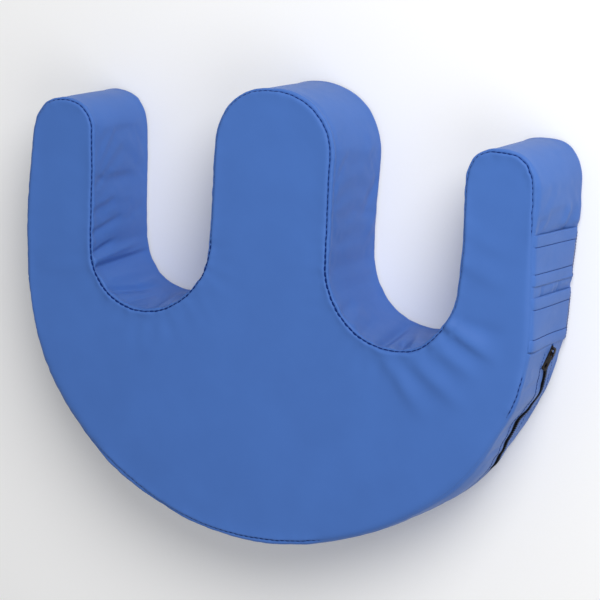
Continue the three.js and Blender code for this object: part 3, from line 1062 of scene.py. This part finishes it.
ZIP_Z = 43
SLIDER_DEG = -11.2
SLIDER = {"length": 12, "half": 4.1, "lower": (298.9, 300.4), "upper": (304.4, 305.9),
          "flange_bottom": 302.3}
BRIDGE = {"half": 2.6, "top": 310, "bar": 1, "foot": 4.4, "leg": 1.9}
PULL = {"length": 21, "half": 5, "thick": 1.4, "open": 3.8, "open_half": 2.8, "bar_r": 0.6, "tip_r": 3.6}
PULL_HOLE = {"from": 12.5, "to": 18, "half": 1.9}
PULL_PIVOT = (307.3, -1.4)
PULL_SKEW_DEG = 30
PULL_LEAN_DEG = 5
PULL_ROLL_DEG = 18


def slider_frame():
    """From the slider's own axes (out, along the zip, up) to the pad's, in millimetres."""
    turn = Matrix.Rotation(math.radians(SLIDER_DEG), 4, "Z")
    return Matrix.Translation((0, ARC_CENTRE_Y, ZIP_Z)) @ turn


def pull_frame():
    """From the pull's axes (across it, towards its bar, through it) to the pad's, in millimetres."""
    pivot = Matrix.Translation((*PULL_PIVOT, 0))
    skew = Matrix.Rotation(math.radians(-PULL_SKEW_DEG), 4, "X")
    lean = Matrix.Rotation(math.radians(-PULL_LEAN_DEG), 4, "Z")
    return slider_frame() @ pivot @ skew @ lean @ Matrix.Rotation(math.radians(90 - PULL_ROLL_DEG), 4, "Y")


def add_plate(mesh, outline_points, low, high, holes=()):
    """Adds a flat outline, raised from low to high along z, with any holes, to a bmesh."""
    loops = [outline_points, *holes]
    flat = [Vector(p) for loop in loops for p in loop]
    edges, first = [], 0
    for loop in loops:
        edges += [(first + i, first + (i + 1) % len(loop)) for i in range(len(loop))]
        first += len(loop)
    result = delaunay_2d_cdt(flat, edges, [], 0, 1e-6)
    inside = [f for f in result[2] if within(sum((result[0][v] for v in f), Vector((0, 0))) / 3, loops)]
    rows = [[mesh.verts.new((p.x, p.y, z)) for p in result[0]] for z in (low, high)]
    for f in inside:
        mesh.faces.new([rows[1][v] for v in f])
        mesh.faces.new([rows[0][v] for v in reversed(f)])
    sides = {}
    for f in inside:
        for a, b in zip(f, (*f[1:], f[0])):
            sides[(a, b)] = (b, a) not in sides
            if (b, a) in sides:
                sides[(b, a)] = sides[(a, b)] = False
    for (a, b), rim in sides.items():
        if rim:
            mesh.faces.new([rows[0][a], rows[0][b], rows[1][b], rows[1][a]])


def within(point, loops):
    """Whether a point lies inside the first loop and outside the others."""
    crossings = 0
    for loop in loops:
        for (ax, ay), (bx, by) in zip(loop, [*loop[1:], loop[0]]):
            if (ay > point.y) != (by > point.y):
                crossings += point.x < ax + (point.y - ay) / (by - ay) * (bx - ax)
    return crossings % 2 == 1


def arc(centre, r, first, last, steps=6, squash=1.0):
    angles = np.radians(np.linspace(first, last, steps + 1))
    return [(centre[0] + r * math.cos(a), centre[1] + squash * r * math.sin(a)) for a in angles]


def finish_metal(name, mesh, place, edge):
    """Makes the object of a bmesh, put in its place, with eased edges."""
    bmesh.ops.dissolve_limit(mesh, angle_limit=math.radians(1), verts=mesh.verts, edges=mesh.edges)
    bmesh.ops.transform(mesh, matrix=Matrix.Scale(MM, 4) @ place, verts=mesh.verts)
    bmesh.ops.recalc_face_normals(mesh, faces=mesh.faces)
    data = bpy.data.meshes.new(name)
    mesh.to_mesh(data)
    mesh.free()
    obj = bpy.data.objects.new(name, data)
    bpy.context.scene.collection.objects.link(obj)
    bevel = obj.modifiers.new("eased_edges", "BEVEL")
    bevel.width = edge * MM
    bevel.segments = 3
    bevel.limit_method = "ANGLE"
    bevel.angle_limit = math.radians(35)
    data.shade_smooth()
    return obj


def make_slider():
    """Two shield-shaped plates with a neck and side flanges, and an arched bridge for the pull."""
    mesh = bmesh.new()
    half_length, half = SLIDER["length"] / 2, SLIDER["half"]
    tail = 0.78 * half
    shield = [(-half_length + 0.8, -tail), (half_length - 3, -half), (half_length - 0.6, -half + 0.9)]
    shield += [(half_length, -1.6), (half_length - 1.1, 0), (half_length, 1.6)]
    shield += [(half_length - 0.6, half - 0.9), (half_length - 3, half), (-half_length + 0.8, tail)]
    shield += [(-half_length, tail - 0.9), (-half_length, -tail + 0.9)]
    for low, high in (SLIDER["lower"], SLIDER["upper"]):
        add_plate(mesh, shield, low, high)
    upper, flange = SLIDER["upper"][0], SLIDER["flange_bottom"]
    for sign in (-1, 1):
        rail = [(-half_length + 1, sign * (tail - 0.9)), (half_length - 3, sign * (half - 0.9))]
        rail += [(half_length - 3, sign * half), (-half_length + 1, sign * tail)]
        add_plate(mesh, rail[::sign], flange, upper)
    add_plate(mesh, [(2, -0.45), (6, -0.9), (6, 0.9), (2, 0.45)], SLIDER["lower"][1], upper)
    to_slider = Matrix(((0, 0, 1, 0), (1, 0, 0, 0), (0, 1, 0, 0), (0, 0, 0, 1)))
    bmesh.ops.transform(mesh, matrix=to_slider, verts=mesh.verts)
    arch = bmesh.new()
    foot, leg, top, base = BRIDGE["foot"], BRIDGE["leg"], BRIDGE["top"], SLIDER["upper"][1] - 0.1
    r = leg + 0.5
    near_corner = arc((-foot + r, top - r), r, 180, 90)
    far_corner = arc((foot - r, top - r), r, 90, 0)
    outer = [(-foot, base), *near_corner, *far_corner, (foot, base)]
    inner_r, low = r - leg, top - BRIDGE["bar"]
    inner = [(foot - leg, base), *arc((foot - r, low - inner_r), inner_r, 0, 90)]
    inner += [*arc((-foot + r, low - inner_r), inner_r, 90, 180), (-foot + leg, base)]
    add_plate(arch, (outer + inner)[::-1], -BRIDGE["half"], BRIDGE["half"])
    upright = Matrix(((0, 1, 0, 0), (1, 0, 0, 0), (0, 0, 1, 0), (0, 0, 0, 1)))
    bmesh.ops.transform(arch, matrix=upright, verts=arch.verts)
    data = bpy.data.meshes.new("arch")
    arch.to_mesh(data)
    arch.free()
    mesh.from_mesh(data)
    bpy.data.meshes.remove(data)
    return finish_metal("zip_slider_body", mesh, slider_frame(), 0.22)


def make_pull():
    """The pull: a frame round its bar, a waisted plate and an oval hole near its round tip."""
    mesh = bmesh.new()
    length, half, tip_r, bar_r = PULL["length"], PULL["half"], PULL["tip_r"], PULL["bar_r"]
    waist = half - 0.7
    edge = [(half - 0.8, bar_r), (half, bar_r - 0.8), (half, -PULL["open"]), (waist, -PULL["open"] - 3)]
    edge += [(half, -length + tip_r + 1.5), *arc((half - tip_r, -length + tip_r), tip_r, 0, -90)]
    edge = edge[::-1]
    outline_points = edge + [(-x, y) for x, y in reversed(edge)]
    middle = -(PULL_HOLE["from"] + PULL_HOLE["to"]) / 2
    tall = (PULL_HOLE["to"] - PULL_HOLE["from"]) / 2
    hole = arc((0, middle), PULL_HOLE["half"], 0, 345, 23, tall / PULL_HOLE["half"])
    wide = PULL["open_half"]
    frame_hole = [(-wide, -bar_r), (wide, -bar_r), (wide, -PULL["open"] + 0.8), (wide - 0.8, -PULL["open"])]
    frame_hole += [(-wide + 0.8, -PULL["open"]), (-wide, -PULL["open"] + 0.8)]
    add_plate(mesh, outline_points, -PULL["thick"] / 2, PULL["thick"] / 2, [hole, frame_hole])
    return finish_metal("zip_pull_tab", mesh, pull_frame(), 0.3)


# ---- the foam ----

FOAM = {"depth": 6.5, "edge": 4, "spacing": 14}


def make_foam():
    """The foam block inside, with eased edges, clear of the cover's deepest creases and of the slider."""
    depth, edge = FOAM["depth"], FOAM["edge"]
    place, outward = outline.at(outline.length * np.arange(STITCHES) / STITCHES)
    turns = np.radians([0, 22.5, 45, 67.5, 90])
    profile = [(depth + edge * (1 - math.cos(t)), depth + edge * (1 - math.sin(t))) for t in turns[::-1]]
    profile += [(inset, THICKNESS - z) for inset, z in profile[::-1]]
    rows = [np.column_stack([place - outward * inset, np.full(STITCHES, z)]) for inset, z in profile]
    faces = grid_faces(len(rows), STITCHES, True).tolist()
    xy, _, _, triangles = panel_layout([(depth + edge, STITCHES)], FOAM["spacing"], depth + edge + 8)
    total = len(rows) * STITCHES
    caps = []
    for seam, z, front in (((len(rows) - 1) * STITCHES, profile[-1][1], True), (0, profile[0][1], False)):
        inner = xy[STITCHES:]
        caps.append(np.column_stack([inner, np.full(len(inner), z)]))
        shift = total - STITCHES
        for tri in triangles:
            face = [seam + v if v < STITCHES else shift + v for v in tri]
            faces.append(face if front else face[::-1])
        total += len(inner)
    return new_object("foam_block", np.concatenate([*rows, *caps]), faces)


# ---- materials ----

def make_material(name, colour, roughness, metallic=0.0):
    material = bpy.data.materials.new(name)
    material.use_nodes = True
    shader = material.node_tree.nodes["Principled BSDF"]
    shader.inputs["Base Color"].default_value = (*colour, 1)
    shader.inputs["Roughness"].default_value = roughness
    shader.inputs["Metallic"].default_value = metallic
    return material, shader


def add_node(material, kind, settings=(), **inputs):
    node = material.node_tree.nodes.new(kind)
    for key, value in dict(settings).items():
        setattr(node, key, value)
    for key, value in inputs.items():
        node.inputs[key.replace("_", " ")].default_value = value
    return node


def link(material, source, output, target, socket):
    material.node_tree.links.new(source.outputs[output], target.inputs[socket])


def texture_place(material, stretch=(1, 1, 1)):
    coordinates = add_node(material, "ShaderNodeTexCoord")
    mapping = add_node(material, "ShaderNodeMapping", Scale=stretch)
    link(material, coordinates, "Object", mapping, "Vector")
    return mapping


def noise_texture(material, place, scale, detail=2.0, roughness=0.5):
    node = add_node(material, "ShaderNodeTexNoise", Scale=scale, Detail=detail, Roughness=roughness)
    link(material, place, "Vector", node, "Vector")
    return node


def wave_texture(material, place, direction, scale, distortion):
    settings = {"bands_direction": direction}
    node = add_node(material, "ShaderNodeTexWave", settings, Scale=scale, Distortion=distortion)
    link(material, place, "Vector", node, "Vector")
    return node


def tint(material, shader, texture, dark, light, low=0.35, high=0.65):
    """Colours the surface between two shades by a texture."""
    ramp = add_node(material, "ShaderNodeValToRGB")
    ramp.color_ramp.elements[0].position, ramp.color_ramp.elements[1].position = low, high
    ramp.color_ramp.elements[0].color, ramp.color_ramp.elements[1].color = (*dark, 1), (*light, 1)
    link(material, texture, 0, ramp, "Fac")
    link(material, ramp, "Color", shader, "Base Color")


def vary_roughness(material, shader, texture, low, high):
    spread = add_node(material, "ShaderNodeMapRange")
    spread.inputs["To Min"].default_value, spread.inputs["To Max"].default_value = low, high
    link(material, texture, 0, spread, "Value")
    link(material, spread, "Result", shader, "Roughness")


def add_bumps(material, shader, layers):
    """Chains bump nodes: each layer is a texture, its output, the depth in millimetres and the strength."""
    last = None
    for texture, output, depth, strength in layers:
        node = add_node(material, "ShaderNodeBump", Strength=strength, Distance=depth * MM)
        link(material, texture, output, node, "Height")
        if last:
            link(material, last, "Normal", node, "Normal")
        last = node
    link(material, last, "Normal", shader, "Normal")


def coated_fabric(name, dark, light):
    """Polyurethane-coated fabric: a fine pebbled grain, soft sheen and slightly uneven colour."""
    material, shader = make_material(name, light, 0.45)
    place = texture_place(material)
    clouds = noise_texture(material, place, 14, 3, 0.55)
    tint(material, shader, clouds, dark, light)
    patches = noise_texture(material, place, 70, 3, 0.6)
    vary_roughness(material, shader, patches, 0.4, 0.54)
    grain = add_node(material, "ShaderNodeTexVoronoi", {"feature": "DISTANCE_TO_EDGE"}, Scale=620)
    link(material, place, "Vector", grain, "Vector")
    fine = noise_texture(material, place, 1500, 2)
    soft = noise_texture(material, place, 160, 3, 0.6)
    add_bumps(material, shader, [
        (soft, 0, 0.25, 0.25), (grain, "Distance", 0.12, 0.3), (fine, 0, 0.06, 0.35),
    ])
    shader.inputs["Specular IOR Level"].default_value = 0.14
    shader.inputs["Sheen Weight"].default_value = 0.02
    shader.inputs["Sheen Roughness"].default_value = 0.45
    return material


def thread_material(name, dark, light):
    """Twisted polyester thread."""
    material, shader = make_material(name, light, 0.6)
    place = texture_place(material)
    strands = wave_texture(material, place, "DIAGONAL", 450, 0.6)
    tint(material, shader, strands, dark, light, 0.2, 0.8)
    add_bumps(material, shader, [(strands, 0, 0.12, 0.6)])
    shader.inputs["Specular IOR Level"].default_value = 0.05
    return material


def woven_tape():
    """Black woven zip tape."""
    material, shader = make_material("zip_tape_weave", (0.008, 0.008, 0.011), 0.8)
    place = texture_place(material)
    up = wave_texture(material, place, "Z", 260, 0.4)
    slant = wave_texture(material, place, "DIAGONAL", 260, 0.4)
    tint(material, shader, up, (0.004, 0.004, 0.006), (0.012, 0.012, 0.016), 0.2, 0.8)
    shader.inputs["Specular IOR Level"].default_value = 0.15
    add_bumps(material, shader, [(up, 0, 0.15, 0.6), (slant, 0, 0.1, 0.5)])
    return material


def coil_plastic():
    material, shader = make_material("zip_coil_nylon", (0.005, 0.005, 0.007), 0.5)
    place = texture_place(material)
    cloud = noise_texture(material, place, 400)
    vary_roughness(material, shader, cloud, 0.4, 0.6)
    shader.inputs["Specular IOR Level"].default_value = 0.2
    add_bumps(material, shader, [(cloud, 0, 0.05, 0.4)])
    return material


def painted_metal():
    """Black lacquered die-cast metal, with lighter brown patches at random that are painted highlights."""
    material, shader = make_material("zip_black_lacquer", (0.02, 0.017, 0.015), 0.3, 0.05)
    place = texture_place(material)
    # The lighter brown patches of this noise are painted highlights; the same patches also vary the
    # roughness.
    highlight_patches = noise_texture(material, place, 260, 4, 0.7)
    tint(material, shader, highlight_patches, (0.004, 0.0035, 0.004), (0.034, 0.022, 0.017), 0.45, 0.75)
    vary_roughness(material, shader, highlight_patches, 0.32, 0.55)
    pits = noise_texture(material, place, 1400, 3, 0.6)
    add_bumps(material, shader, [(pits, 0, 0.04, 0.4)])
    shader.inputs["Specular IOR Level"].default_value = 0.15
    return material


def foam_material():
    """Open-cell polyurethane foam."""
    material, shader = make_material("cream_foam", (0.75, 0.7, 0.55), 0.95)
    place = texture_place(material)
    cells = add_node(material, "ShaderNodeTexVoronoi", Scale=700)
    link(material, place, "Vector", cells, "Vector")
    tint(material, shader, cells, (0.78, 0.72, 0.56), (0.6, 0.54, 0.4), 0.2, 0.8)
    add_bumps(material, shader, [(cells, "Distance", 0.6, 0.8)])
    return material


def floor_paint():
    material, shader = make_material("floor_paint", (0.93, 0.93, 0.93), 0.9)
    place = texture_place(material)
    speckle = noise_texture(material, place, 300, 4)
    tint(material, shader, speckle, (0.927, 0.927, 0.927), (0.932, 0.932, 0.932))
    return material


# ---- the studio ----

CAMERA_AT = (1.116, 0.5401, 2.3674)
CAMERA_TARGET = (0.0128, 0.01396, 0.06)
CAMERA_ROLL_DEG = 3.1427
LENS_MM = 143.35
SENSOR_MM = 36
FLOOR_HALF = 9000


def add_camera():
    """The camera looks down at the pad's face from beyond its upper right, with its prongs towards the
    top."""
    data = bpy.data.cameras.new("camera")
    data.lens = LENS_MM
    data.sensor_width = SENSOR_MM
    data.clip_end = 50
    camera = bpy.data.objects.new("camera", data)
    bpy.context.scene.collection.objects.link(camera)
    camera.location = CAMERA_AT
    back = (Vector(CAMERA_AT) - Vector(CAMERA_TARGET)).normalized()
    right = Vector((0, 1, 0)).cross(back).normalized()
    axes = Matrix((right, back.cross(right), back)).transposed()
    camera.rotation_mode = "QUATERNION"
    camera.rotation_quaternion = axes.to_quaternion() @ Quaternion((0, 0, 1), math.radians(CAMERA_ROLL_DEG))
    bpy.context.scene.camera = camera


def add_light(name, place, size, power):
    data = bpy.data.lights.new(name, "AREA")
    data.shape = "DISK"
    data.size = size
    data.energy = power
    light = bpy.data.objects.new(name, data)
    bpy.context.scene.collection.objects.link(light)
    light.location = place
    light.rotation_mode = "QUATERNION"
    light.rotation_quaternion = (-Vector(place)).to_track_quat("-Z", "Y")


def add_studio():
    half = FLOOR_HALF
    corners = [[-half, -half, 0], [half, -half, 0], [half, half, 0], [-half, half, 0]]
    floor = new_object("floor", corners, [[0, 1, 2, 3]], smooth=False)
    floor.data.materials.append(floor_paint())
    add_light("key", (1.2, 1.5, 1.9), 1.7, 54)
    add_light("side", (1.7, -0.4, 2.3), 1.6, 13)
    world = bpy.data.worlds.new("studio")
    world.use_nodes = True
    background = world.node_tree.nodes["Background"]
    background.inputs["Color"].default_value = (1, 1, 1, 1)
    background.inputs["Strength"].default_value = 0.4
    bpy.context.scene.world = world
    bpy.context.scene.view_settings.view_transform = "Standard"


# ---- the whole pad ----

def place_piece(obj, material, body, slot, *nodes):
    obj.data.materials.append(material)
    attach(obj, body)
    if nodes:
        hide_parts(*nodes)
    return obj


def build_cover(cloth, fabric, thread):
    covers = [
        (make_panel(cloth, "front_panel_cover", True), "front_panel"),
        (make_panel(cloth, "back_panel_cover", False), "back_panel"),
        (make_prong_band(cloth), "prong_band"),
        (make_zip_band(cloth, "front", 1), "zip_band_front"),
        (make_zip_band(cloth, "back", -1), "zip_band_back"),
    ]
    for obj, node in covers:
        thicken(obj, COVER_CLOTH)
        place_piece(obj, fabric, "pad", "cover_fabric", node)
    for side, z in (("front", THICKNESS), ("back", 0)):
        obj = make_seam_thread(cloth, f"{side}_seam_stitches", z)
        place_piece(obj, thread, "pad", "seam_thread", f"{side}_seam_thread")


def build_straps(fabric, thread):
    for side in ("right", "left"):
        for level, (low, high) in STRAPS.items():
            name = f"{side}_{level}_strap"
            strap = make_strap(level, side)
            place_piece(strap, fabric, "pad", "strap_fabric", name)
            for edge in ("low", "high"):
                obj = make_hem_thread(level, side, edge)
                place_piece(obj, thread, "pad", "seam_thread", f"{name}_thread_{edge}")
            place_piece(make_end_thread(level, side), thread, "pad", "seam_thread", f"{name}_thread_low")


def build_zip(cloth, thread):
    tape, nylon, metal = woven_tape(), coil_plastic(), painted_metal()
    for side, sign in (("front", 1), ("back", -1)):
        place_piece(make_tape(side, sign), tape, "pad", "zip_tape", f"zip_tape_{side}")
        place_piece(make_coil(side, sign), nylon, "pad", "zip_coil", f"zip_coil_{side}")
        place_piece(make_topstitch(cloth, side, sign), thread, "pad", "seam_thread", f"zip_topstitch_{side}")
    for name in ("zip_top_stop_front", "zip_top_stop_back", "zip_bottom_stop"):
        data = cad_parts[name].data
        data.materials.clear()
        data.materials.append(metal)
    place_piece(make_slider(), metal, "slider", "zip_metal", "zip_slider")
    place_piece(make_pull(), metal, "pull", "zip_metal", "zip_pull")


add_camera()
add_studio()
cloth_shift = ClothShift()
cover_fabric = coated_fabric("blue_coated_fabric", (0.058, 0.147, 0.442), (0.061, 0.155, 0.464))
navy_thread = thread_material("navy_thread", (0.002, 0.013, 0.1), (0.004, 0.026, 0.17))
blue_thread = thread_material("blue_thread", (0.004, 0.022, 0.13), (0.008, 0.04, 0.2))
build_cover(cloth_shift, cover_fabric, navy_thread)
build_straps(cover_fabric, blue_thread)
build_zip(cloth_shift, blue_thread)
foam = place_piece(make_foam(), foam_material(), "pad", "foam", "foam_core")
